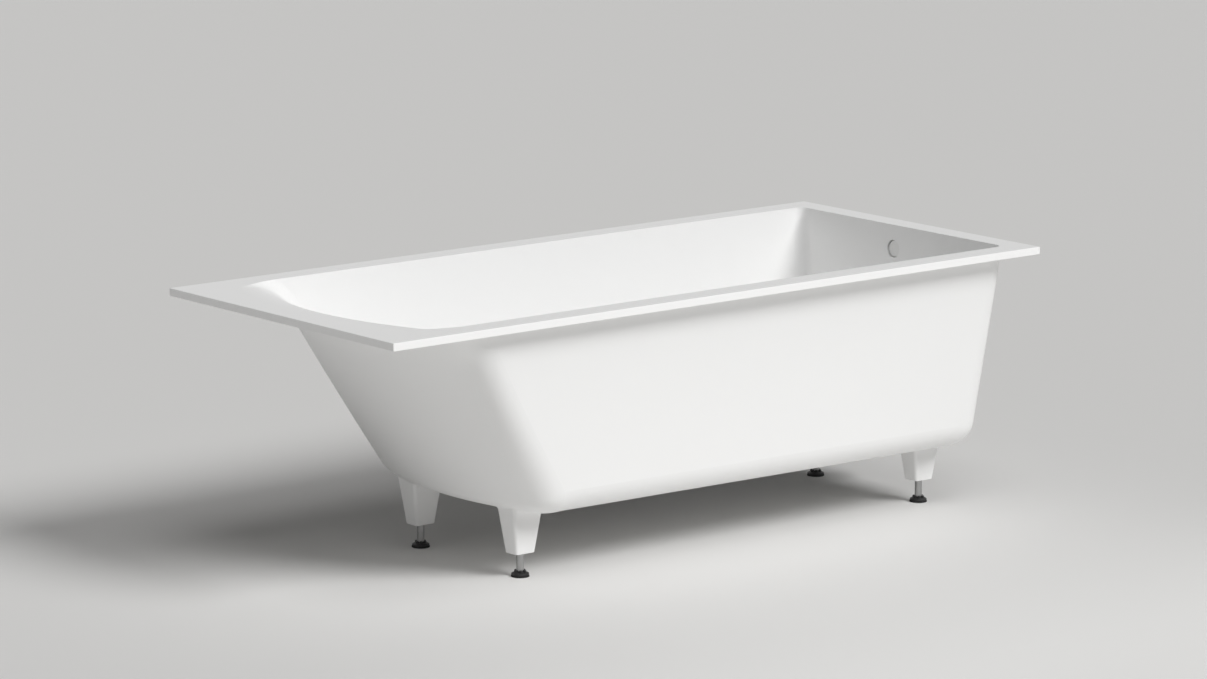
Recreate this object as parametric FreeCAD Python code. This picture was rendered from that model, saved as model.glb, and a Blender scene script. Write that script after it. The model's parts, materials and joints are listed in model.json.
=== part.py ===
import FreeCAD, Part
import math
import os
from FreeCAD import Vector

# A built-in bathtub of cast stone on four levelling feet, with its overflow and drain.
# Millimetres and degrees. The origin is on the floor below the middle of the rim.
# +X points to the foot end, with the drain and overflow, and the head end is at -X.

# Bath as a whole
BATH_LENGTH = 1800.0
BATH_WIDTH = 800.0
BATH_HEIGHT = 600.0
WALL = 13.0

# Rim
RIM_WIDTH = 58.0
RIM_THICKNESS = 17.0
RIM_EDGE_ROUND = 1.2

# Lean of the walls, from the vertical, and fall of the floor towards the foot end
SIDE_DRAFT_ANGLE = 7.5
FOOT_DRAFT_ANGLE = 3.1
BACK_ANGLE = 34.4
FLOOR_FALL_ANGLE = 0.5

# Head end: the backrest is curved in plan, less so lower down, and rolls over into the rim
HEAD_ARC_RADIUS = 640.0
HEAD_LOW_ARC_RADIUS = 860.0
LIP_RADIUS = 156.0

# Radii of the bowl's standing corners at the rim and at the floor, and along the floor.
# At the foot end the low corners are a little wider than the round along the floor.
INNER_HEAD_CORNER = 38.0
INNER_HEAD_LOW_CORNER = 58.0
INNER_FOOT_CORNER = 22.0
INNER_FLOOR_ROUND = 36.0
INNER_CORNER_MARGIN = 6.0
OUTER_HEAD_CORNER = 64.0
OUTER_HEAD_LOW_CORNER = 80.0
OUTER_FOOT_CORNER = 50.0
OUTER_FLOOR_ROUND = 64.0
OUTER_CORNER_MARGIN = 2.0

# Underside of the bowl above the floor, at the foot end
BELLY_CLEARANCE = 137.2

# Moulded legs
LEG_CLEARANCE = 53.0
HEAD_LEG_SETBACK = 56.6
FOOT_LEG_INSET = 154.0
LEG_SPREAD = 352.0
LEG_LENGTH_X = 52.0
LEG_LENGTH_Y = 40.6
LEG_DRAFT_X_ANGLE = 7.9
LEG_DRAFT_Y_ANGLE = 6.0
LEG_CORNER = 7.0
LEG_BLEND = 8.0
LEG_ROOT = 45.0

# Levelling feet
STUD_RADIUS = 8.0
STUD_TOP = 98.0
STUD_CHAMFER = 1.2
PIVOT_RADIUS = 5.0
RUNNING_CLEARANCE = 0.05
SOLE_RADIUS = 19.8
SOLE_THICKNESS = 3.6
SOLE_ROUND = 1.2
SOLE_TREAD_RADIUS = 15.0
SOLE_TREAD_DEPTH = 0.8
PAD_RADIUS = 19.0
PAD_GROOVE_RADIUS = 18.2
PAD_GROOVE_HEIGHT = 0.6
PAD_RIM_HEIGHT = 2.9
PAD_TOP_RADIUS = 14.5
PAD_THICKNESS = 6.0
PAD_ROUND = 1.0
PAD_FLOOR_THICKNESS = 1.4
COLLAR_HEIGHT = 4.6
COLLAR_CORE_RADIUS = 9.9
COLLAR_CORE_HEIGHT = 3.0
COLLAR_LOBES = 6
LOBE_RADIUS = 3.7
LOBE_CIRCLE_RADIUS = 9.8
LOBE_ROUND = 1.2

# Threaded inserts in the legs
INSERT_RADIUS = 13.0
INSERT_LENGTH = 34.0
INSERT_FLANGE_RADIUS = 16.0
INSERT_FLANGE_THICKNESS = 2.0
STUD_WELL_RADIUS = 9.5
STUD_WELL_TOP = 130.0

# Overflow, measured along its own axis from the inner face of the foot wall
OVERFLOW_DROP = 55.0
OVERFLOW_OFFSET = 20.0
OVERFLOW_RADIUS = 20.5
OVERFLOW_SHOULDER_DEPTH = 11.0
OVERFLOW_THROAT_RADIUS = 17.0
COVER_RADIUS = 18.3
COVER_DEPTH = 4.2
COVER_THICKNESS = 2.4
COVER_ROUND = 0.6
COVER_STUB_RADIUS = 7.5
BUSH_FLANGE_THICKNESS = 2.0
BUSH_WALL = 2.4
BUSH_LENGTH = 12.0
BUSH_HUB_LENGTH = 6.0
BUSH_RIBS = 3
BUSH_RIB_THICKNESS = 2.4
SCREW_RADIUS = 3.0
SCREW_HEAD_RADIUS = 5.0
SCREW_HEAD_HEIGHT = 3.0
SCREW_LENGTH = 34.0
SCREW_SLOT_WIDTH = 1.2
SCREW_SLOT_DEPTH = 1.2
ASSEMBLY_CLEARANCE = 0.2
OVERFLOW_SEAL_THICKNESS = 3.0
ELBOW_FLANGE_RADIUS = 30.0
ELBOW_FLANGE_THICKNESS = 3.0
ELBOW_RADIUS = 24.5
ELBOW_WALL = 2.6
ELBOW_DEPTH = 34.0
ELBOW_ROUND = 4.0
ELBOW_BOSS_RADIUS = 6.0
ELBOW_BOSS_LENGTH = 12.0
SOCKET_AXIS_DEPTH = 38.0
SOCKET_END = 62.0

# Overflow pipe and the unions on it
PIPE_RADIUS = 14.0
PIPE_WALL = 2.0
PIPE_BEND_RADIUS = 45.0
PIPE_RUN_HEIGHT = 112.0
PIPE_INSERTION = 16.0
SOCKET_WALL = 3.0
UNION_WASHER_LENGTH = 3.0
NUT_WALL = 3.0
NUT_GRIP = 13.0
NUT_LIP = 3.0
NUT_SIDES = 10

# Drain, on the middle line of the bath
DRAIN_INSET = 150.0
DRAIN_HOLE_RADIUS = 26.0
DRAIN_DISH_RADIUS = 60.0
DRAIN_DISH_DEPTH = 4.0
DRAIN_SEAT_RADIUS = 37.0
DRAIN_BOSS_RADIUS = 45.0
FLANGE_RADIUS = 36.0
FLANGE_THICKNESS = 2.6
FLANGE_ROUND = 0.8
FLANGE_BORE_RADIUS = 20.5
FLANGE_TAIL_WALL = 3.0
FLANGE_TAIL_LENGTH = 33.0
SPIDER_DEPTH = 9.0
SPIDER_HEIGHT = 6.0
SPIDER_RIBS = 4
SPIDER_RIB_THICKNESS = 3.0
DRAIN_SEAL_THICKNESS = 2.0

# Push plug
PLUG_TRAVEL = 9.0
PLUG_CAP_RADIUS = 32.0
PLUG_CAP_EDGE = 3.4
PLUG_CAP_DOME = 1.6
PLUG_CAP_ROUND = 1.4
PLUG_SEAL_OUTER = 29.0
PLUG_SEAL_INNER = 22.5
PLUG_SEAL_THICKNESS = 2.0
PLUG_STEM_RADIUS = 4.0
PLUG_STEM_HEAD_RADIUS = 6.2
PLUG_STEM_HEAD_HEIGHT = 2.0
PLUG_STOP_GAP = 0.3
SPRING_WIRE_RADIUS = 0.6
SPRING_RADIUS = 5.4
SPRING_TURNS = 5
CARTRIDGE_RADIUS = 8.5
CARTRIDGE_WALL = 1.6
CARTRIDGE_ABOVE_SPIDER = 4.0
CARTRIDGE_LENGTH = 26.0
CARTRIDGE_LIP = 2.0

# Waste body below the bath and its outlet
WASTE_FLANGE_RADIUS = 38.0
WASTE_FLANGE_THICKNESS = 4.0
WASTE_RADIUS = 29.0
WASTE_WALL = 3.0
WASTE_BOTTOM = 80.0
WASTE_THREAD_LENGTH = 17.0
WASTE_ROUND = 5.0
INLET_REACH = 60.0
OUTLET_HEIGHT = 105.0
OUTLET_PIPE_RADIUS = 20.0
OUTLET_PIPE_WALL = 2.0
OUTLET_TURN = 12.0
OUTLET_REACH = 58.0
OUTLET_PIPE_END = 132.0
OUTLET_BEAD_HEIGHT = 1.6
OUTLET_BEAD_WIDTH = 2.0
OUTLET_BEAD_GAP = 1.0

# How far a cutting shape runs past what it cuts
OVERRUN = 50.0

# How close two values are when they are taken as equal
TOUCH = RUNNING_CLEARANCE / 10

# Places worked out from the sizes above
OPENING_HALF_WIDTH = BATH_WIDTH / 2 - RIM_WIDTH
OPENING_FOOT = BATH_LENGTH / 2 - RIM_WIDTH
RIM_UNDERSIDE = BATH_HEIGHT - RIM_THICKNESS
OVERFLOW_HEIGHT = BATH_HEIGHT - OVERFLOW_DROP
DRAIN_X = OPENING_FOOT - DRAIN_INSET


def tan_of(angle):
    return math.tan(math.radians(angle))


def cos_of(angle):
    return math.cos(math.radians(angle))


def sin_of(angle):
    return math.sin(math.radians(angle))


def belly_height(x):
    """Height of the underside of the bowl at x."""
    return BELLY_CLEARANCE + (OPENING_FOOT - x) * tan_of(FLOOR_FALL_ANGLE)


def bath_floor_height(x):
    """Height of the inner floor of the bath at x."""
    return belly_height(x) + WALL / cos_of(FLOOR_FALL_ANGLE)


FLANGE_SEAT_HEIGHT = bath_floor_height(DRAIN_X) - DRAIN_DISH_DEPTH
BOSS_HEIGHT = FLANGE_SEAT_HEIGHT - WALL
FLANGE_LOW = FLANGE_SEAT_HEIGHT + DRAIN_SEAL_THICKNESS
FLANGE_TOP = FLANGE_LOW + FLANGE_THICKNESS
WASTE_TOP = BOSS_HEIGHT - DRAIN_SEAL_THICKNESS
TAIL_RADIUS = FLANGE_BORE_RADIUS + FLANGE_TAIL_WALL
SPIDER_TOP = FLANGE_TOP - SPIDER_DEPTH
HUB_RADIUS = CARTRIDGE_RADIUS + SPIDER_RIB_THICKNESS


def cylinder(radius, low, high):
    """Upright cylinder on the Z axis between two heights."""
    return Part.makeCylinder(radius, high - low, Vector(0, 0, low))


def ring(outer, inner, low, high):
    """Upright tube on the Z axis between two heights."""
    return cylinder(outer, low, high).cut(cylinder(inner, low, high))


def turned(outline):
    """Solid turned about the Z axis from an outline of (radius, height) points."""
    points = [Vector(radius, 0, height) for radius, height in outline]
    face = Part.Face(Part.makePolygon(points + points[:1]))
    return face.revolve(Vector(0, 0, 0), Vector(0, 0, 1), 360)


def edges_at_height(shape, height):
    """Edges that lie wholly at one height."""
    found = []
    for edge in shape.Edges:
        box = edge.BoundBox
        if abs(box.ZMin - height) < TOUCH and abs(box.ZMax - height) < TOUCH:
            found.append(edge)
    return found


def spread_round(shape, count, phase=0.0):
    """Copies of a shape, evenly turned about the Z axis and joined."""
    copies = []
    for index in range(count):
        copy = shape.copy()
        copy.rotate(Vector(0, 0, 0), Vector(0, 0, 1), phase + 360 * index / count)
        copies.append(copy)
    return copies[0].fuse(copies[1:])


def spoke(inner, outer, thickness, low, high):
    """Flat rib along +X from one radius to another."""
    corner = Vector(inner, -thickness / 2, low)
    return Part.makeBox(outer - inner, thickness, high - low, corner)


def placed_along(shape, origin, direction):
    """The shape with its own Z axis moved to an origin and a direction."""
    copy = shape.copy()
    copy.Placement = FreeCAD.Placement(origin, FreeCAD.Rotation(Vector(0, 0, 1), direction))
    return copy


# Bowl and rim


def bowl_block(offset, low_at):
    """Block with the leaning sides and foot end of the bowl, moved out by an offset."""
    head_x = -BATH_LENGTH / 2 - OVERRUN
    high = BATH_HEIGHT + OVERRUN
    half = OPENING_HALF_WIDTH + offset / cos_of(SIDE_DRAFT_ANGLE)
    foot = OPENING_FOOT + offset / cos_of(FOOT_DRAFT_ANGLE)
    sections = []
    for head_z, foot_z in ((low_at(head_x), low_at(foot)), (high, high)):
        head_half = half - (BATH_HEIGHT - head_z) * tan_of(SIDE_DRAFT_ANGLE)
        foot_half = half - (BATH_HEIGHT - foot_z) * tan_of(SIDE_DRAFT_ANGLE)
        foot_x = foot - (BATH_HEIGHT - foot_z) * tan_of(FOOT_DRAFT_ANGLE)
        corners = [
            Vector(head_x, -head_half, head_z),
            Vector(foot_x, -foot_half, foot_z),
            Vector(foot_x, foot_half, foot_z),
            Vector(head_x, head_half, head_z),
        ]
        sections.append(Part.makePolygon(corners + corners[:1]))
    return Part.makeLoft(sections, True, True)


def back_line(offset, height):
    """Place along X where the backrest, moved out by an offset, crosses a height at mid width."""
    lip = -OPENING_FOOT + LIP_RADIUS * tan_of((90 - BACK_ANGLE) / 2)
    return lip + (BATH_HEIGHT - height) * tan_of(BACK_ANGLE) - offset / cos_of(BACK_ANGLE)


def bow_of(radius, half):
    """How deep an arc of a radius is over twice a half width."""
    return radius - math.sqrt(radius**2 - half**2)


def head_block(offset, top):
    """What lies behind the backrest: a leaning block, curved in plan, with a rolled top edge."""
    roll = LIP_RADIUS + offset
    half = BATH_WIDTH / 2 + OVERRUN
    low = BELLY_CLEARANCE - OVERRUN
    low_bow = bow_of(HEAD_LOW_ARC_RADIUS, half)
    added_bow = bow_of(HEAD_ARC_RADIUS, half) - low_bow
    top_bow = low_bow + added_bow * (top - low) / (BATH_HEIGHT - low)
    back = -BATH_LENGTH
    sections = []
    for height, bow in ((low, low_bow), (top, top_bow)):
        middle = Vector(back_line(offset, height), 0, height)
        near = middle + Vector(bow, -half, 0)
        far = middle + Vector(bow, half, 0)
        sections.append(Part.Wire([
            Part.Arc(near, middle, far).toShape(),
            Part.makeLine(far, Vector(back, half, height)),
            Part.makeLine(Vector(back, half, height), Vector(back, -half, height)),
            Part.makeLine(Vector(back, -half, height), near),
        ]))
    block = Part.makeLoft(sections, True, True)
    front = max(edges_at_height(block, top), key=place_along_bath)
    return block.makeFillet(roll, [front])


def place_along_bath(edge):
    return edge.CenterOfMass.x


def steep_edges(shape, least_rise):
    """Edges that rise by more than a given amount from end to end."""
    found = []
    for edge in shape.Edges:
        heights = [vertex.Z for vertex in edge.Vertexes]
        if max(heights) - min(heights) > least_rise:
            found.append(edge)
    return found


def rounded_upright(shape, edge, top_radius, low_radius):
    """Fillet along one standing edge that widens from its top to its foot."""
    rising = edge.Vertexes[0].Z < edge.Vertexes[-1].Z
    first, last = (low_radius, top_radius) if rising else (top_radius, low_radius)
    return shape.makeFillet(first, last, [edge])


def bowl_form(offset, low_at, top, radii):
    """The bowl as a solid form, moved out by an offset: 0 is the cavity, WALL the outside."""
    head_radii, foot_radii, floor_radius = radii
    form = bowl_block(offset, low_at)
    for side in (-1, 1):
        foot_edges = [
            edge
            for edge in steep_edges(form, BATH_HEIGHT / 2)
            if edge.CenterOfMass.x > 0 and edge.CenterOfMass.y * side > OPENING_HALF_WIDTH / 2
        ]
        form = rounded_upright(form, foot_edges[0], *foot_radii)
    form = form.cut(head_block(offset, top))
    for side in (-1, 1):
        head_edges = [
            edge
            for edge in steep_edges(form, BATH_HEIGHT / 3)
            if edge.CenterOfMass.x < 0 and edge.CenterOfMass.y * side > OPENING_HALF_WIDTH / 2
        ]
        form = rounded_upright(form, head_edges[0], *head_radii)
    floor_edges = [edge for edge in form.Edges if edge.BoundBox.ZMax < low_at(-OPENING_FOOT)]
    return form.makeFillet(floor_radius, floor_edges)


def leg_places():
    """Name and plan position of each leg."""
    head_x = back_line(WALL, BELLY_CLEARANCE) + HEAD_LEG_SETBACK
    foot_x = BATH_LENGTH / 2 - FOOT_LEG_INSET
    y = LEG_SPREAD / 2
    return {
        "head_near": Vector(head_x, -y, 0),
        "head_far": Vector(head_x, y, 0),
        "foot_near": Vector(foot_x, -y, 0),
        "foot_far": Vector(foot_x, y, 0),
    }


def leg_form(place):
    """Tapered leg from its foot up into the bowl, whose cavity is cut later."""
    top = belly_height(place.x) + LEG_ROOT
    sections = []
    for z in (LEG_CLEARANCE, top):
        rise = z - LEG_CLEARANCE
        half_x = LEG_LENGTH_X / 2 + rise * tan_of(LEG_DRAFT_X_ANGLE)
        half_y = LEG_LENGTH_Y / 2 + rise * tan_of(LEG_DRAFT_Y_ANGLE)
        corners = [
            place + Vector(-half_x, -half_y, z),
            place + Vector(half_x, -half_y, z),
            place + Vector(half_x, half_y, z),
            place + Vector(-half_x, half_y, z),
        ]
        sections.append(Part.makePolygon(corners + corners[:1]))
    leg = Part.makeLoft(sections, True, True)
    return leg.makeFillet(LEG_CORNER, steep_edges(leg, LEG_CLEARANCE / 2))


def stud_well(place):
    """Hole in a leg for its insert and, above that, for the stud."""
    insert_top = LEG_CLEARANCE + INSERT_LENGTH
    well = cylinder(STUD_WELL_RADIUS, LEG_CLEARANCE - OVERRUN, STUD_WELL_TOP)
    well = well.fuse(cylinder(INSERT_RADIUS, LEG_CLEARANCE - OVERRUN, insert_top))
    flange_top = LEG_CLEARANCE + INSERT_FLANGE_THICKNESS
    well = well.fuse(cylinder(INSERT_FLANGE_RADIUS, LEG_CLEARANCE - OVERRUN, flange_top))
    well.translate(place)
    return well


def drain_hole():
    """Dished seat and hole for the drain fitting."""
    level = FLANGE_SEAT_HEIGHT + DRAIN_DISH_DEPTH
    slope = (DRAIN_DISH_RADIUS - DRAIN_SEAT_RADIUS) / DRAIN_DISH_DEPTH
    brim = DRAIN_DISH_RADIUS + DRAIN_DISH_DEPTH * slope
    hole = turned([
        (0, BOSS_HEIGHT - OVERRUN),
        (DRAIN_HOLE_RADIUS, BOSS_HEIGHT - OVERRUN),
        (DRAIN_HOLE_RADIUS, FLANGE_SEAT_HEIGHT),
        (DRAIN_SEAT_RADIUS, FLANGE_SEAT_HEIGHT),
        (brim, level + DRAIN_DISH_DEPTH),
        (0, level + DRAIN_DISH_DEPTH),
    ])
    hole.translate(Vector(DRAIN_X, 0, 0))
    return hole


def wall_origin():
    """Where the axis of the overflow meets the inner face of the foot wall."""
    x = OPENING_FOOT - (BATH_HEIGHT - OVERFLOW_HEIGHT) * tan_of(FOOT_DRAFT_ANGLE)
    return Vector(x, OVERFLOW_OFFSET, OVERFLOW_HEIGHT)


def on_foot_wall(shape):
    """Moves a shape turned about Z to the overflow axis; its own +X ends up pointing down."""
    copy = shape.copy()
    turn = FreeCAD.Rotation(Vector(0, 1, 0), 90 + FOOT_DRAFT_ANGLE)
    copy.Placement = FreeCAD.Placement(wall_origin(), turn)
    return copy


def foot_wall_point(depth, down):
    """Point at a depth behind the inner face of the foot wall and a distance down along it."""
    outward = Vector(cos_of(FOOT_DRAFT_ANGLE), 0, -sin_of(FOOT_DRAFT_ANGLE))
    return wall_origin() + outward * depth + down_the_wall() * down


def down_the_wall():
    return Vector(-sin_of(FOOT_DRAFT_ANGLE), 0, -cos_of(FOOT_DRAFT_ANGLE))


def overflow_hole():
    """Stepped round hole through the foot wall."""
    mouth = cylinder(OVERFLOW_RADIUS, -OVERRUN, OVERFLOW_SHOULDER_DEPTH)
    throat = cylinder(OVERFLOW_THROAT_RADIUS, -OVERRUN, WALL + OVERRUN)
    return on_foot_wall(mouth.fuse(throat))


def leg_joint_edges(body, legs):
    """Edges where the legs run into the underside of the bowl."""
    found = []
    for edge in body.Edges:
        box = edge.BoundBox
        if box.ZMin < LEG_CLEARANCE + TOUCH or box.ZMax > BATH_HEIGHT / 2:
            continue
        middle = Part.Vertex(edge.valueAt((edge.FirstParameter + edge.LastParameter) / 2))
        if any(leg.Shells[0].distToShape(middle)[0] < TOUCH for leg in legs):
            found.append(edge)
    return found


def tub_shell():
    """Bowl, rim and legs in one casting."""
    inset = RIM_WIDTH / 2
    corner = Vector(-BATH_LENGTH / 2 + inset, -BATH_WIDTH / 2, 0)
    trim_height = RIM_UNDERSIDE + RIM_THICKNESS / 2
    trim = Part.makeBox(BATH_LENGTH - inset, BATH_WIDTH, trim_height, corner)
    outer_radii = (
        (OUTER_HEAD_CORNER, OUTER_HEAD_LOW_CORNER),
        (OUTER_FOOT_CORNER, OUTER_FLOOR_ROUND + OUTER_CORNER_MARGIN),
        OUTER_FLOOR_ROUND,
    )
    body = bowl_form(WALL, belly_height, RIM_UNDERSIDE, outer_radii).common(trim)
    places = list(leg_places().values())
    legs = [leg_form(place) for place in places]
    body = body.fuse(legs)
    body = body.makeFillet(LEG_BLEND, leg_joint_edges(body, legs))
    boss = cylinder(DRAIN_BOSS_RADIUS, BOSS_HEIGHT, FLANGE_SEAT_HEIGHT)
    boss.translate(Vector(DRAIN_X, 0, 0))
    corner = Vector(-BATH_LENGTH / 2, -BATH_WIDTH / 2, RIM_UNDERSIDE)
    rim = Part.makeBox(BATH_LENGTH, BATH_WIDTH, RIM_THICKNESS, corner)
    rim = rim.makeFillet(RIM_EDGE_ROUND, rim.Edges)
    inner_radii = (
        (INNER_HEAD_CORNER, INNER_HEAD_LOW_CORNER),
        (INNER_FOOT_CORNER, INNER_FLOOR_ROUND + INNER_CORNER_MARGIN),
        INNER_FLOOR_ROUND,
    )
    cavity = bowl_form(0, bath_floor_height, BATH_HEIGHT, inner_radii)
    shell = body.fuse([boss, rim]).cut(cavity)
    holes = [drain_hole(), overflow_hole()] + [stud_well(place) for place in places]
    return shell.cut(holes)


# Levelling feet


def leg_insert():
    """Threaded sleeve with a flange, flush with the underside of a leg."""
    bore = STUD_RADIUS + RUNNING_CLEARANCE
    sleeve = ring(INSERT_RADIUS, bore, LEG_CLEARANCE, LEG_CLEARANCE + INSERT_LENGTH)
    flange_top = LEG_CLEARANCE + INSERT_FLANGE_THICKNESS
    return sleeve.fuse(ring(INSERT_FLANGE_RADIUS, bore, LEG_CLEARANCE, flange_top))


PAD_TOP = SOLE_THICKNESS + PAD_THICKNESS
PIVOT_LOW = SOLE_THICKNESS + PAD_FLOOR_THICKNESS


def levelling_stud():
    """Steel stud with a thinner pivot that turns in the foot pad."""
    return turned([
        (0, PIVOT_LOW),
        (PIVOT_RADIUS, PIVOT_LOW),
        (PIVOT_RADIUS, PAD_TOP),
        (STUD_RADIUS, PAD_TOP),
        (STUD_RADIUS, STUD_TOP - STUD_CHAMFER),
        (STUD_RADIUS - STUD_CHAMFER, STUD_TOP),
        (0, STUD_TOP),
    ])


def star_collar():
    """Hand collar on the stud: lobes that stand above a lower core."""
    lobe = cylinder(LOBE_RADIUS, PAD_TOP, PAD_TOP + COLLAR_HEIGHT)
    lobe.translate(Vector(LOBE_CIRCLE_RADIUS, 0, 0))
    lobe = lobe.makeFillet(LOBE_ROUND, edges_at_height(lobe, PAD_TOP + COLLAR_HEIGHT))
    core = cylinder(COLLAR_CORE_RADIUS, PAD_TOP, PAD_TOP + COLLAR_CORE_HEIGHT)
    star = core.fuse(spread_round(lobe, COLLAR_LOBES))
    return star.cut(cylinder(STUD_RADIUS, PAD_TOP, PAD_TOP + COLLAR_HEIGHT))


def foot_pad():
    """Plastic disc with a groove above the sole and a sloping shoulder."""
    groove_top = SOLE_THICKNESS + PAD_GROOVE_HEIGHT
    rim_top = groove_top + PAD_RIM_HEIGHT
    pad = turned([
        (0, SOLE_THICKNESS),
        (PAD_GROOVE_RADIUS, SOLE_THICKNESS),
        (PAD_GROOVE_RADIUS, groove_top),
        (PAD_RADIUS, groove_top),
        (PAD_RADIUS, rim_top),
        (PAD_TOP_RADIUS, PAD_TOP),
        (0, PAD_TOP),
    ])
    pad = pad.makeFillet(PAD_ROUND, edges_at_height(pad, rim_top))
    return pad.cut(cylinder(PIVOT_RADIUS + RUNNING_CLEARANCE, PIVOT_LOW, PAD_TOP))


def foot_sole():
    """Rubber disc on the floor, a little wider than the pad, with a hollow tread."""
    sole = cylinder(SOLE_RADIUS, 0, SOLE_THICKNESS)
    sole = sole.makeFillet(SOLE_ROUND, edges_at_height(sole, SOLE_THICKNESS))
    return sole.cut(cylinder(SOLE_TREAD_RADIUS, 0, SOLE_TREAD_DEPTH))


# Overflow


COVER_BACK = COVER_DEPTH + COVER_THICKNESS
BUSH_FRONT = OVERFLOW_SHOULDER_DEPTH - BUSH_FLANGE_THICKNESS
SCREW_SEAT = COVER_BACK + SCREW_HEAD_HEIGHT + ASSEMBLY_CLEARANCE
BUSH_BORE = OVERFLOW_THROAT_RADIUS - ASSEMBLY_CLEARANCE - BUSH_WALL
ELBOW_FRONT = WALL + OVERFLOW_SEAL_THICKNESS


def overflow_cover():
    """Round cover set back in the overflow hole, on a stub that clips to the bush."""
    disc = cylinder(COVER_RADIUS, COVER_DEPTH, COVER_BACK)
    disc = disc.makeFillet(COVER_ROUND, edges_at_height(disc, COVER_DEPTH))
    stub = ring(COVER_STUB_RADIUS, SCREW_HEAD_RADIUS + ASSEMBLY_CLEARANCE, COVER_BACK, SCREW_SEAT)
    return disc.fuse(stub)


def overflow_bush():
    """Bush through the foot wall, with a hub on ribs for the screw."""
    radius = OVERFLOW_THROAT_RADIUS - ASSEMBLY_CLEARANCE
    rim_radius = OVERFLOW_RADIUS - ASSEMBLY_CLEARANCE
    flange = ring(rim_radius, BUSH_BORE, BUSH_FRONT, OVERFLOW_SHOULDER_DEPTH)
    back = OVERFLOW_SHOULDER_DEPTH + BUSH_LENGTH
    tube = ring(radius, BUSH_BORE, OVERFLOW_SHOULDER_DEPTH, back)
    hub = cylinder(COVER_STUB_RADIUS, SCREW_SEAT, SCREW_SEAT + BUSH_HUB_LENGTH)
    hub_back = SCREW_SEAT + BUSH_HUB_LENGTH
    reach = BUSH_BORE + BUSH_WALL / 2
    rib = spoke(0, reach, BUSH_RIB_THICKNESS, OVERFLOW_SHOULDER_DEPTH, hub_back)
    ribs = spread_round(rib, BUSH_RIBS)
    bush = flange.fuse([tube, hub, ribs])
    return bush.cut(cylinder(SCREW_RADIUS + ASSEMBLY_CLEARANCE, SCREW_SEAT, hub_back))


def overflow_screw():
    """Slotted screw that pulls the bush and the elbow together through the wall."""
    front = SCREW_SEAT - SCREW_HEAD_HEIGHT
    head = cylinder(SCREW_HEAD_RADIUS, front, SCREW_SEAT)
    slot_back = front + SCREW_SLOT_DEPTH
    slot = spoke(-SCREW_HEAD_RADIUS, SCREW_HEAD_RADIUS, SCREW_SLOT_WIDTH, front, slot_back)
    shank = cylinder(SCREW_RADIUS, SCREW_SEAT, SCREW_SEAT + SCREW_LENGTH)
    return head.fuse(shank).cut(slot)


def overflow_seal():
    """Rubber ring between the outside of the foot wall and the elbow."""
    return ring(ELBOW_FLANGE_RADIUS, OVERFLOW_THROAT_RADIUS, WALL, ELBOW_FRONT)


def overflow_elbow():
    """Chamber behind the foot wall with a socket that points down."""
    back = ELBOW_FRONT + ELBOW_DEPTH
    flange = cylinder(ELBOW_FLANGE_RADIUS, ELBOW_FRONT, ELBOW_FRONT + ELBOW_FLANGE_THICKNESS)
    chamber = cylinder(ELBOW_RADIUS, ELBOW_FRONT, back)
    chamber = chamber.makeFillet(ELBOW_ROUND, edges_at_height(chamber, back))
    socket_radius = PIPE_RADIUS + ASSEMBLY_CLEARANCE + SOCKET_WALL
    socket_foot = Vector(0, 0, SOCKET_AXIS_DEPTH)
    down = Vector(1, 0, 0)
    socket = Part.makeCylinder(socket_radius, SOCKET_END, socket_foot, down)
    hollow_front = ELBOW_FRONT + ELBOW_FLANGE_THICKNESS
    hollow = cylinder(ELBOW_RADIUS - ELBOW_WALL, hollow_front, back - ELBOW_WALL)
    mouth = cylinder(OVERFLOW_THROAT_RADIUS, ELBOW_FRONT, back - ELBOW_WALL)
    bore = Part.makeCylinder(PIPE_RADIUS - PIPE_WALL, SOCKET_END, socket_foot, down)
    seat_start = SOCKET_END - PIPE_INSERTION
    seat = Part.makeCylinder(
        PIPE_RADIUS + ASSEMBLY_CLEARANCE, PIPE_INSERTION, socket_foot + down * seat_start, down
    )
    elbow = flange.fuse([chamber, socket]).cut([hollow, mouth, bore, seat])
    boss = cylinder(ELBOW_BOSS_RADIUS, back - ELBOW_BOSS_LENGTH, back - ELBOW_WALL / 2)
    screw_hole = cylinder(SCREW_RADIUS + RUNNING_CLEARANCE, ELBOW_FRONT, SCREW_SEAT + SCREW_LENGTH)
    return elbow.fuse(boss).cut(screw_hole)


# Unions and pipes


def socket_wall_radius(pipe_radius):
    return pipe_radius + ASSEMBLY_CLEARANCE + SOCKET_WALL


def union_washer(pipe_radius):
    """Washer pressed between a socket's mouth and its nut, which starts at height zero."""
    inner = pipe_radius + RUNNING_CLEARANCE
    return ring(socket_wall_radius(pipe_radius), inner, 0, UNION_WASHER_LENGTH)


def union_nut(pipe_radius):
    """Many-sided nut over a socket that starts below height zero, with a lip round the pipe."""
    inner = socket_wall_radius(pipe_radius) + ASSEMBLY_CLEARANCE
    outer = inner + NUT_WALL
    low = -NUT_GRIP
    high = UNION_WASHER_LENGTH + NUT_LIP
    corners = []
    for index in range(NUT_SIDES):
        angle = 360 * index / NUT_SIDES
        reach = outer / cos_of(180 / NUT_SIDES)
        corners.append(Vector(reach * cos_of(angle), reach * sin_of(angle), low))
    prism = Part.Face(Part.makePolygon(corners + corners[:1])).extrude(Vector(0, 0, high - low))
    nut = prism.cut(cylinder(inner, low, UNION_WASHER_LENGTH))
    return nut.cut(cylinder(pipe_radius + ASSEMBLY_CLEARANCE, low, high))


def pipe_corner():
    """Corner where the pipe's run down the wall would meet its run under the bowl."""
    start = foot_wall_point(SOCKET_AXIS_DEPTH, SOCKET_END)
    fall = (start.z - PIPE_RUN_HEIGHT) / cos_of(FOOT_DRAFT_ANGLE)
    return start + down_the_wall() * fall


def waste_axis(height):
    return Vector(DRAIN_X, 0, height)


def inlet_direction():
    """Level direction from the waste body towards the pipe's corner."""
    away = pipe_corner() - waste_axis(PIPE_RUN_HEIGHT)
    return away.normalize()


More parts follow.
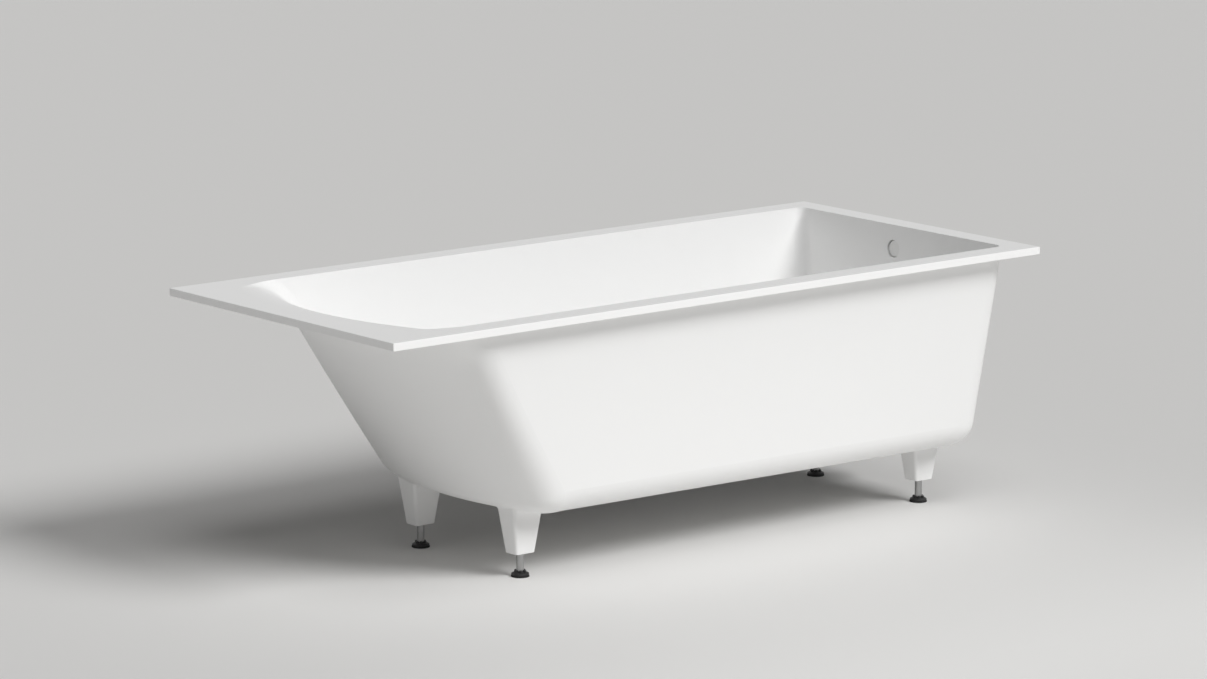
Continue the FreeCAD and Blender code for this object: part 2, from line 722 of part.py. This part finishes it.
def outlet_direction():
    """Level direction of the outlet, turned so that a pipe put on it passes the far leg."""
    return Vector(-sin_of(OUTLET_TURN), cos_of(OUTLET_TURN), 0)


def overflow_pipe():
    """Pipe down the outside of the foot wall, round one bend and along under the bowl."""
    corner = pipe_corner()
    start = foot_wall_point(SOCKET_AXIS_DEPTH, SOCKET_END - PIPE_INSERTION)
    reach = INLET_REACH - PIPE_INSERTION
    end = waste_axis(PIPE_RUN_HEIGHT) + inlet_direction() * reach
    up = (start - corner).normalize()
    along = (end - corner).normalize()
    half_turn = up.getAngle(along) / 2
    tangent = PIPE_BEND_RADIUS / math.tan(half_turn)
    bisector = (up + along).normalize()
    middle = corner + bisector * (PIPE_BEND_RADIUS / math.sin(half_turn) - PIPE_BEND_RADIUS)
    bend_start = corner + up * tangent
    bend_end = corner + along * tangent
    path = Part.Wire([
        Part.LineSegment(start, bend_start).toShape(),
        Part.Arc(bend_start, middle, bend_end).toShape(),
        Part.LineSegment(bend_end, end).toShape(),
    ])
    tubes = []
    for radius in (PIPE_RADIUS, PIPE_RADIUS - PIPE_WALL):
        section = Part.Wire(Part.Circle(start, up, radius).toShape())
        tubes.append(path.makePipeShell([section], True, False))
    return tubes[0].cut(tubes[1])


# Drain and plug


def drain_flange():
    """Flange in the floor of the bath, with a threaded tail and ribs that carry the plug."""
    low = FLANGE_LOW - FLANGE_TAIL_LENGTH
    plate = ring(FLANGE_RADIUS, FLANGE_BORE_RADIUS, FLANGE_LOW, FLANGE_TOP)
    top_edges = edges_at_height(plate, FLANGE_TOP)
    outer_edges = [edge for edge in top_edges if edge.BoundBox.XMax > DRAIN_HOLE_RADIUS]
    plate = plate.makeFillet(FLANGE_ROUND, outer_edges)
    tail = ring(TAIL_RADIUS, FLANGE_BORE_RADIUS, low, FLANGE_LOW)
    spider_low = SPIDER_TOP - SPIDER_HEIGHT
    hub = cylinder(HUB_RADIUS, spider_low, SPIDER_TOP)
    reach = FLANGE_BORE_RADIUS + FLANGE_TAIL_WALL / 2
    rib = spoke(0, reach, SPIDER_RIB_THICKNESS, spider_low, SPIDER_TOP)
    ribs = spread_round(rib, SPIDER_RIBS)
    flange = plate.fuse([tail, hub, ribs])
    return flange.cut(cylinder(CARTRIDGE_RADIUS, spider_low, SPIDER_TOP))


def drain_seal_upper():
    """Flat ring between the flange and its seat in the floor of the bath."""
    return ring(FLANGE_RADIUS, DRAIN_HOLE_RADIUS, FLANGE_SEAT_HEIGHT, FLANGE_LOW)


def drain_seal_lower():
    """Flat ring between the underside of the bath and the waste body."""
    return ring(WASTE_FLANGE_RADIUS, DRAIN_HOLE_RADIUS, WASTE_TOP, BOSS_HEIGHT)


PLUG_SEAL_TOP = FLANGE_TOP + PLUG_SEAL_THICKNESS
CARTRIDGE_TOP = SPIDER_TOP + CARTRIDGE_ABOVE_SPIDER
CARTRIDGE_LOW = CARTRIDGE_TOP - CARTRIDGE_LENGTH
STEM_HEAD_TOP = CARTRIDGE_TOP - CARTRIDGE_LIP - PLUG_STOP_GAP - PLUG_TRAVEL
STEM_HEAD_LOW = STEM_HEAD_TOP - PLUG_STEM_HEAD_HEIGHT


def plug_cap():
    """Round cap, a little domed, that covers the drain."""
    edge_top = PLUG_SEAL_TOP + PLUG_CAP_EDGE
    cap = cylinder(PLUG_CAP_RADIUS, PLUG_SEAL_TOP, edge_top)
    ball_radius = (PLUG_CAP_RADIUS**2 + PLUG_CAP_DOME**2) / (2 * PLUG_CAP_DOME)
    ball = Part.makeSphere(ball_radius, Vector(0, 0, edge_top + PLUG_CAP_DOME - ball_radius))
    dome = ball.common(cylinder(PLUG_CAP_RADIUS, edge_top, edge_top + PLUG_CAP_DOME))
    cap = cap.fuse(dome)
    shoulder = [
        edge for edge in edges_at_height(cap, edge_top) if edge.BoundBox.XMax > PLUG_SEAL_OUTER
    ]
    return cap.makeFillet(PLUG_CAP_ROUND, shoulder)


def plug_seal():
    """Rubber ring under the cap that closes on the flange."""
    return ring(PLUG_SEAL_OUTER, PLUG_SEAL_INNER, FLANGE_TOP, PLUG_SEAL_TOP)


def plug_stem():
    """Stem from the cap down into the cartridge, with a head that stops under its lip."""
    stem = cylinder(PLUG_STEM_RADIUS, STEM_HEAD_LOW, PLUG_SEAL_TOP)
    return stem.fuse(cylinder(PLUG_STEM_HEAD_RADIUS, STEM_HEAD_LOW, STEM_HEAD_TOP))


def plug_spring():
    """Coil spring between the foot of the cartridge and the head of the stem."""
    low = CARTRIDGE_LOW + CARTRIDGE_WALL + SPRING_WIRE_RADIUS + PLUG_STOP_GAP
    high = STEM_HEAD_LOW - SPRING_WIRE_RADIUS - PLUG_STOP_GAP
    path = Part.Wire(Part.makeHelix((high - low) / SPRING_TURNS, high - low, SPRING_RADIUS))
    path.translate(Vector(0, 0, low))
    start = Vector(SPRING_RADIUS, 0, low)
    section = Part.Wire(Part.Circle(start, Vector(0, 1, 0), SPRING_WIRE_RADIUS).toShape())
    return path.makePipeShell([section], True, True)


def plug_cartridge():
    """Barrel that guides the stem, open above, with a closed foot."""
    barrel = cylinder(CARTRIDGE_RADIUS, CARTRIDGE_LOW, CARTRIDGE_TOP)
    lip_low = CARTRIDGE_TOP - CARTRIDGE_LIP
    lip_bore = cylinder(PLUG_STEM_RADIUS + RUNNING_CLEARANCE, lip_low, CARTRIDGE_TOP)
    inside = CARTRIDGE_RADIUS - CARTRIDGE_WALL
    hollow = cylinder(inside, CARTRIDGE_LOW + CARTRIDGE_WALL, lip_low)
    return barrel.cut([lip_bore, hollow])


def waste_body():
    """Body below the bath: screws to the flange's tail, takes the overflow and has the outlet."""
    thread_low = WASTE_TOP - WASTE_THREAD_LENGTH
    plate = cylinder(WASTE_FLANGE_RADIUS, WASTE_TOP - WASTE_FLANGE_THICKNESS, WASTE_TOP)
    pot = cylinder(WASTE_RADIUS, WASTE_BOTTOM, WASTE_TOP)
    pot = pot.makeFillet(WASTE_ROUND, edges_at_height(pot, WASTE_BOTTOM))
    hollow = cylinder(WASTE_RADIUS - WASTE_WALL, WASTE_BOTTOM + WASTE_WALL, thread_low)
    thread = cylinder(TAIL_RADIUS + ASSEMBLY_CLEARANCE, thread_low, WASTE_TOP)
    centre = Vector(0, 0, PIPE_RUN_HEIGHT)
    inlet_way = inlet_direction()
    inlet = Part.makeCylinder(socket_wall_radius(PIPE_RADIUS), INLET_REACH, centre, inlet_way)
    inlet_bore = Part.makeCylinder(PIPE_RADIUS - PIPE_WALL, INLET_REACH, centre, inlet_way)
    inlet_seat = Part.makeCylinder(
        PIPE_RADIUS + ASSEMBLY_CLEARANCE,
        PIPE_INSERTION,
        centre + inlet_way * (INLET_REACH - PIPE_INSERTION),
        inlet_way,
    )
    outlet_way = outlet_direction()
    middle = Vector(0, 0, OUTLET_HEIGHT)
    outlet = Part.makeCylinder(
        socket_wall_radius(OUTLET_PIPE_RADIUS), OUTLET_REACH, middle, outlet_way
    )
    outlet_bore = Part.makeCylinder(
        OUTLET_PIPE_RADIUS - OUTLET_PIPE_WALL, OUTLET_REACH, middle, outlet_way
    )
    outlet_seat = Part.makeCylinder(
        OUTLET_PIPE_RADIUS + ASSEMBLY_CLEARANCE,
        PIPE_INSERTION,
        middle + outlet_way * (OUTLET_REACH - PIPE_INSERTION),
        outlet_way,
    )
    body = pot.fuse([plate, inlet, outlet])
    body = body.cut([hollow, thread, inlet_bore, inlet_seat, outlet_bore, outlet_seat])
    body.translate(Vector(DRAIN_X, 0, 0))
    return body


def outlet_pipe():
    """Short outlet pipe that the house drain joins, with a bead that keeps the nut on it."""
    start = OUTLET_REACH - PIPE_INSERTION
    inner = OUTLET_PIPE_RADIUS - OUTLET_PIPE_WALL
    tube = ring(OUTLET_PIPE_RADIUS, inner, start, OUTLET_PIPE_END)
    bead_start = OUTLET_REACH + UNION_WASHER_LENGTH + NUT_LIP + OUTLET_BEAD_GAP
    bead_outer = OUTLET_PIPE_RADIUS + OUTLET_BEAD_HEIGHT
    bead = ring(bead_outer, inner, bead_start, bead_start + OUTLET_BEAD_WIDTH)
    return placed_along(tube.fuse(bead), waste_axis(OUTLET_HEIGHT), outlet_direction())


def at_drain(shape):
    copy = shape.copy()
    copy.translate(Vector(DRAIN_X, 0, 0))
    return copy


def all_nodes():
    """Every piece of the bath by its name."""
    nodes = {"tub_shell": tub_shell()}
    for corner, place in leg_places().items():
        for name, piece in (
            ("leg_insert", leg_insert()),
            ("levelling_stud", levelling_stud()),
            ("star_collar", star_collar()),
            ("foot_pad", foot_pad()),
            ("foot_sole", foot_sole()),
        ):
            piece.translate(place)
            nodes[name + "_" + corner] = piece
    for name, piece in (
        ("overflow_cover", overflow_cover()),
        ("overflow_bush", overflow_bush()),
        ("overflow_screw", overflow_screw()),
        ("overflow_seal", overflow_seal()),
        ("overflow_elbow", overflow_elbow()),
    ):
        nodes[name] = on_foot_wall(piece)
    for name, piece in (
        ("drain_flange", drain_flange()),
        ("drain_seal_upper", drain_seal_upper()),
        ("drain_seal_lower", drain_seal_lower()),
        ("plug_cap", plug_cap()),
        ("plug_seal", plug_seal()),
        ("plug_stem", plug_stem()),
        ("plug_spring", plug_spring()),
        ("plug_cartridge", plug_cartridge()),
    ):
        nodes[name] = at_drain(piece)
    nodes["overflow_pipe"] = overflow_pipe()
    nodes["waste_body"] = waste_body()
    nodes["outlet_pipe"] = outlet_pipe()
    inlet_mouth = waste_axis(PIPE_RUN_HEIGHT) + inlet_direction() * INLET_REACH
    outlet_mouth = waste_axis(OUTLET_HEIGHT) + outlet_direction() * OUTLET_REACH
    for washer, nut, radius, mouth, way in (
        ("pipe_washer_upper", "pipe_nut_upper", PIPE_RADIUS,
         foot_wall_point(SOCKET_AXIS_DEPTH, SOCKET_END), down_the_wall()),
        ("pipe_washer_lower", "pipe_nut_lower", PIPE_RADIUS, inlet_mouth, inlet_direction()),
        ("outlet_washer", "outlet_nut", OUTLET_PIPE_RADIUS, outlet_mouth, outlet_direction()),
    ):
        nodes[washer] = placed_along(union_washer(radius), mouth, way)
        nodes[nut] = placed_along(union_nut(radius), mouth, way)
    return nodes


os.makedirs("parts", exist_ok=True)
for node_name, node_shape in all_nodes().items():
    node_shape.exportStep(os.path.join("parts", node_name + ".step"))
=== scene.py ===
import json
import math
from typing import NamedTuple

import bpy
from mathutils import Matrix, Vector


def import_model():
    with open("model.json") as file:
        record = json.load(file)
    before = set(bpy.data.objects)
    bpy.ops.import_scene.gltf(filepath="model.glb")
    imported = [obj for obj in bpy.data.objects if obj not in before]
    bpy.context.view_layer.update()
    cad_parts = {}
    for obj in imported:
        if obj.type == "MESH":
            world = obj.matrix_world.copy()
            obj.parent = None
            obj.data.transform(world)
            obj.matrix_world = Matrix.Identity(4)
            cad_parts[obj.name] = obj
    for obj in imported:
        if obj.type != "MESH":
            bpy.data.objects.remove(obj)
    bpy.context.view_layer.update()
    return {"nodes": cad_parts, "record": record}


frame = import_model()

# Lengths are in metres and angles in degrees, apart from the lens and sensor, in millimetres.

# Camera, as fitted to the photograph
CAMERA_PLACE = (-6.9757, -8.5717, 2.5796)
CAMERA_AZIMUTH = -39.015
CAMERA_ELEVATION = 10.965
CAMERA_LENS = 153.27
CAMERA_SENSOR_WIDTH = 36.0
CAMERA_NEAREST = 0.1
CAMERA_FURTHEST = 200.0


class Lamp(NamedTuple):
    """Distant lamp. Its azimuth goes from -Y towards +X, and its width is that of its disc."""

    azimuth: float
    elevation: float
    width: float
    strength: float


LAMPS = {
    "key": Lamp(azimuth=18.5, elevation=41.0, width=23.0, strength=2.02),
    "side": Lamp(azimuth=-24.0, elevation=63.0, width=28.0, strength=0.67),
}

# Soft light of the studio: the side that it comes from and its strength
GLOWS = (
    ((-1.0, 0.0, 0.0), 0.2),
    ((-0.6, 0.0, 0.8), 0.13),
    ((0.0, -1.0, 0.0), 0.13),
)
GLOW_TONE = (1.0, 0.995, 0.985)
GLOW_FALLOFF = 2.0
# Tone of the studio behind the floor, which the camera and shiny surfaces see
BACKDROP = 0.56

# Floor: its tone, and a lighter tone towards the front, between two places along Y, which is
# painted light standing in for the falloff of the lamps
FLOOR_SIZE = 120.0
FLOOR_TONE = (0.79, 0.785, 0.774)
FLOOR_PAINTED_LIGHT_TONE = (0.97, 0.965, 0.95)
FLOOR_PAINTED_LIGHT_SPAN = (-0.5, -1.5)
FLOOR_ROUGHNESS = 0.8
FLOOR_SPECULAR = 0.1

# How far the patches on a metal or a rubber go below and above its tone
STEEL_SPREAD = (0.9, 1.08)
RUBBER_SPREAD = (0.8, 1.3)
# How far the roughness of moulded plastic goes to either side
MOULDED_WEAR = 0.06
# Rings of a wave texture with a scale of 1, in radians a metre
WAVE_TURN = 20.0
WAVE_DISTORTION = 0.4


class Finish(NamedTuple):
    """How a surface looks.

    Patches go from its darkest to its lightest tone, and wear from its least to its greatest
    roughness. Its relief is a grain or turned rings. A size or spacing of zero leaves that out.
    """

    tones: tuple
    patch_size: float
    roughness: tuple
    wear_size: float
    patch_detail: float = 2.0
    wear_detail: float = 3.0
    grain_size: float = 0.0
    grain_detail: float = 3.0
    ring_spacing: float = 0.0
    relief_depth: float = 0.0
    relief_strength: float = 1.0
    specular: float = 0.5
    metallic: float = 0.0


def grey(tone):
    return (tone, tone, tone)


def steel(tone):
    """Turned steel with fine rings across Z."""
    darker, lighter = STEEL_SPREAD
    return Finish(
        tones=(grey(tone * darker), grey(tone * lighter)),
        patch_size=0.004,
        roughness=(0.24, 0.38),
        wear_size=0.002,
        ring_spacing=0.0044,
        relief_depth=0.00002,
        relief_strength=0.6,
        metallic=1.0,
    )


def moulded(darkest, lightest, roughness):
    """Moulded plastic with a fine eroded grain."""
    return Finish(
        tones=(darkest, lightest),
        patch_size=0.01,
        patch_detail=3.0,
        roughness=(roughness - MOULDED_WEAR, roughness + MOULDED_WEAR),
        wear_size=0.003,
        grain_size=0.0006,
        grain_detail=2.0,
        relief_depth=0.00003,
        relief_strength=0.7,
    )


def rubber(tone):
    """Matt rubber with a fine grain."""
    darker, lighter = RUBBER_SPREAD
    return Finish(
        tones=(grey(tone * darker), grey(tone * lighter)),
        patch_size=0.006,
        patch_detail=4.0,
        roughness=(0.68, 0.85),
        wear_size=0.002,
        grain_size=0.0008,
        relief_depth=0.00004,
        relief_strength=0.8,
        specular=0.3,
    )


# Finish of each material slot of the record
FINISHES = {
    "cast_shell": Finish(
        tones=((0.945, 0.945, 0.94), (0.955, 0.955, 0.951)),
        patch_size=0.35,
        roughness=(0.46, 0.54),
        wear_size=0.05,
        wear_detail=4.0,
        grain_size=0.0012,
        relief_depth=0.00003,
        relief_strength=0.5,
        specular=0.35,
    ),
    "drain_chrome": Finish(
        tones=((0.74, 0.74, 0.765), (0.82, 0.82, 0.84)),
        patch_size=0.02,
        roughness=(0.08, 0.17),
        wear_size=0.004,
        wear_detail=4.0,
        metallic=1.0,
    ),
    "stem_brass": Finish(
        tones=((0.66, 0.5, 0.26), (0.76, 0.61, 0.34)),
        patch_size=0.004,
        roughness=(0.24, 0.4),
        wear_size=0.002,
        metallic=1.0,
    ),
    "insert_steel": steel(0.5),
    "stud_steel": steel(0.42),
    "fixing_steel": steel(0.6),
    "black_plastic": moulded(grey(0.012), grey(0.02), 0.5),
    "cover_plastic": moulded((0.88, 0.88, 0.87), (0.92, 0.92, 0.91), 0.4),
    "fitting_plastic": moulded((0.72, 0.72, 0.7), (0.79, 0.79, 0.77), 0.45),
    "nut_plastic": moulded(grey(0.035), (0.05, 0.05, 0.053), 0.5),
    "pipe_plastic": moulded((0.6, 0.61, 0.62), (0.66, 0.67, 0.68), 0.4),
    "cartridge_plastic": moulded((0.7, 0.7, 0.68), (0.78, 0.78, 0.76), 0.45),
    "sole_rubber": rubber(0.018),
    "seal_rubber": rubber(0.025),
}


class Shader:
    """A Principled material with a few short calls for its nodes."""

    def __init__(self, name, specular, metallic=0.0):
        self.material = bpy.data.materials.new(name)
        self.material.use_nodes = True
        self.tree = self.material.node_tree
        self.main = self.tree.nodes["Principled BSDF"]
        self.main.inputs["Specular IOR Level"].default_value = specular
        self.main.inputs["Metallic"].default_value = metallic
        self.place = self.tree.nodes.new("ShaderNodeTexCoord").outputs["Object"]

    def link(self, source, target):
        self.tree.links.new(source, target)

    def noise(self, size, detail):
        """Noise whose blotches are about size metres across, as a value round one half."""
        texture = self.tree.nodes.new("ShaderNodeTexNoise")
        texture.inputs["Scale"].default_value = 1.0 / size
        texture.inputs["Detail"].default_value = detail
        self.link(self.place, texture.inputs["Vector"])
        return texture.outputs["Fac"]

    def rings(self, spacing):
        """Fine rings across Z, as turning leaves them."""
        wave = self.tree.nodes.new("ShaderNodeTexWave")
        wave.bands_direction = "Z"
        wave.inputs["Scale"].default_value = 2 * math.pi / (WAVE_TURN * spacing)
        wave.inputs["Distortion"].default_value = WAVE_DISTORTION
        self.link(self.place, wave.inputs["Vector"])
        return wave.outputs["Fac"]

    def along_y(self, start, end):
        """A value that goes smoothly from 0 to 1 between two places along Y."""
        parts = self.tree.nodes.new("ShaderNodeSeparateXYZ")
        self.link(self.place, parts.inputs["Vector"])
        spread = self.tree.nodes.new("ShaderNodeMapRange")
        spread.interpolation_type = "SMOOTHSTEP"
        spread.inputs["From Min"].default_value = start
        spread.inputs["From Max"].default_value = end
        self.link(parts.outputs["Y"], spread.inputs["Value"])
        return spread.outputs["Result"]

    def colours(self, value, low, high):
        mix = self.tree.nodes.new("ShaderNodeMix")
        mix.data_type = "RGBA"
        mix.inputs["A"].default_value = (*low, 1.0)
        mix.inputs["B"].default_value = (*high, 1.0)
        self.link(value, mix.inputs["Factor"])
        self.link(mix.outputs["Result"], self.main.inputs["Base Color"])

    def roughness(self, value, low, high):
        spread = self.tree.nodes.new("ShaderNodeMapRange")
        spread.inputs["To Min"].default_value = low
        spread.inputs["To Max"].default_value = high
        self.link(value, spread.inputs["Value"])
        self.link(spread.outputs["Result"], self.main.inputs["Roughness"])

    def bump(self, value, depth, strength):
        node = self.tree.nodes.new("ShaderNodeBump")
        node.inputs["Distance"].default_value = depth
        node.inputs["Strength"].default_value = strength
        self.link(value, node.inputs["Height"])
        self.link(node.outputs["Normal"], self.main.inputs["Normal"])


def direction(azimuth, elevation):
    """Unit vector towards an azimuth, which goes from -Y towards +X, and an elevation."""
    azimuth = math.radians(azimuth)
    elevation = math.radians(elevation)
    return Vector((
        math.sin(azimuth) * math.cos(elevation),
        -math.cos(azimuth) * math.cos(elevation),
        math.sin(elevation),
    ))


def camera():
    back = direction(CAMERA_AZIMUTH, CAMERA_ELEVATION)
    azimuth = math.radians(CAMERA_AZIMUTH)
    right = Vector((math.cos(azimuth), math.sin(azimuth), 0))
    up = back.cross(right)
    data = bpy.data.cameras.new("camera")
    data.sensor_fit = "HORIZONTAL"
    data.sensor_width = CAMERA_SENSOR_WIDTH
    data.lens = CAMERA_LENS
    data.clip_start = CAMERA_NEAREST
    data.clip_end = CAMERA_FURTHEST
    cam = bpy.data.objects.new("camera", data)
    rotation = Matrix((right, up, back)).transposed().to_4x4()
    cam.matrix_world = Matrix.Translation(CAMERA_PLACE) @ rotation
    bpy.context.scene.collection.objects.link(cam)
    bpy.context.scene.camera = cam


def material(name, finish):
    shader = Shader(name, finish.specular, finish.metallic)
    shader.colours(shader.noise(finish.patch_size, finish.patch_detail), *finish.tones)
    shader.roughness(shader.noise(finish.wear_size, finish.wear_detail), *finish.roughness)
    relief = None
    if finish.ring_spacing:
        relief = shader.rings(finish.ring_spacing)
    elif finish.grain_size:
        relief = shader.noise(finish.grain_size, finish.grain_detail)
    if relief:
        shader.bump(relief, finish.relief_depth, finish.relief_strength)
    return shader.material


def dress():
    """Puts each node's own material on it, by the slot that the record names."""
    made = {name: material(name, finish) for name, finish in FINISHES.items()}
    for part in frame["record"]["subparts"]:
        node = frame["nodes"][part["node"]]
        node.data.materials.clear()
        node.data.materials.append(made[part["material_slot"]])


def floor():
    half = FLOOR_SIZE / 2
    mesh = bpy.data.meshes.new("floor")
    corners = [(-half, -half, 0), (half, -half, 0), (half, half, 0), (-half, half, 0)]
    mesh.from_pydata(corners, [], [(0, 1, 2, 3)])
    ground = bpy.data.objects.new("floor", mesh)
    bpy.context.scene.collection.objects.link(ground)
    shader = Shader("studio_floor", FLOOR_SPECULAR)
    shader.main.inputs["Roughness"].default_value = FLOOR_ROUGHNESS
    # Painted light: the floor's colour grows lighter towards the front, where the lamps'
    # falloff would make it brighter
    shader.colours(shader.along_y(*FLOOR_PAINTED_LIGHT_SPAN), FLOOR_TONE, FLOOR_PAINTED_LIGHT_TONE)
    mesh.materials.append(shader.material)


def lamps():
    for name, lamp in LAMPS.items():
        data = bpy.data.lights.new(name, "SUN")
        data.energy = lamp.strength
        data.angle = math.radians(lamp.width)
        light = bpy.data.objects.new(name, data)
        light.rotation_mode = "QUATERNION"
        towards = direction(lamp.azimuth, lamp.elevation)
        light.rotation_quaternion = towards.to_track_quat("Z", "Y")
        bpy.context.scene.collection.objects.link(light)


def world():
    """Soft light that comes from a few sides and fades away from each of them."""
    studio = bpy.data.worlds.new("studio")
    studio.use_nodes = True
    bpy.context.scene.world = studio
    tree = studio.node_tree
    back = tree.nodes["Background"]
    back.inputs["Color"].default_value = (*GLOW_TONE, 1.0)
    place = tree.nodes.new("ShaderNodeTexCoord").outputs["Generated"]

    def maths(operation, first, second):
        node = tree.nodes.new("ShaderNodeMath")
        node.operation = operation
        for socket, value in zip(node.inputs, (first, second)):
            if isinstance(value, float):
                socket.default_value = value
            else:
                tree.links.new(value, socket)
        return node.outputs["Value"]

    total = 0.0
    for side, strength in GLOWS:
        dot = tree.nodes.new("ShaderNodeVectorMath")
        dot.operation = "DOT_PRODUCT"
        tree.links.new(place, dot.inputs[0])
        dot.inputs[1].default_value = side
        facing = maths("MAXIMUM", dot.outputs["Value"], 0.0)
        glow = maths("MULTIPLY", maths("POWER", facing, GLOW_FALLOFF), strength)
        total = maths("ADD", glow, total)
    rays = tree.nodes.new("ShaderNodeLightPath").outputs
    seen = maths("MAXIMUM", rays["Is Camera Ray"], rays["Is Glossy Ray"])
    total = maths("MAXIMUM", total, maths("MULTIPLY", seen, BACKDROP))
    tree.links.new(total, back.inputs["Strength"])


bpy.context.scene.view_settings.view_transform = "Standard"
camera()
dress()
floor()
lamps()
world()
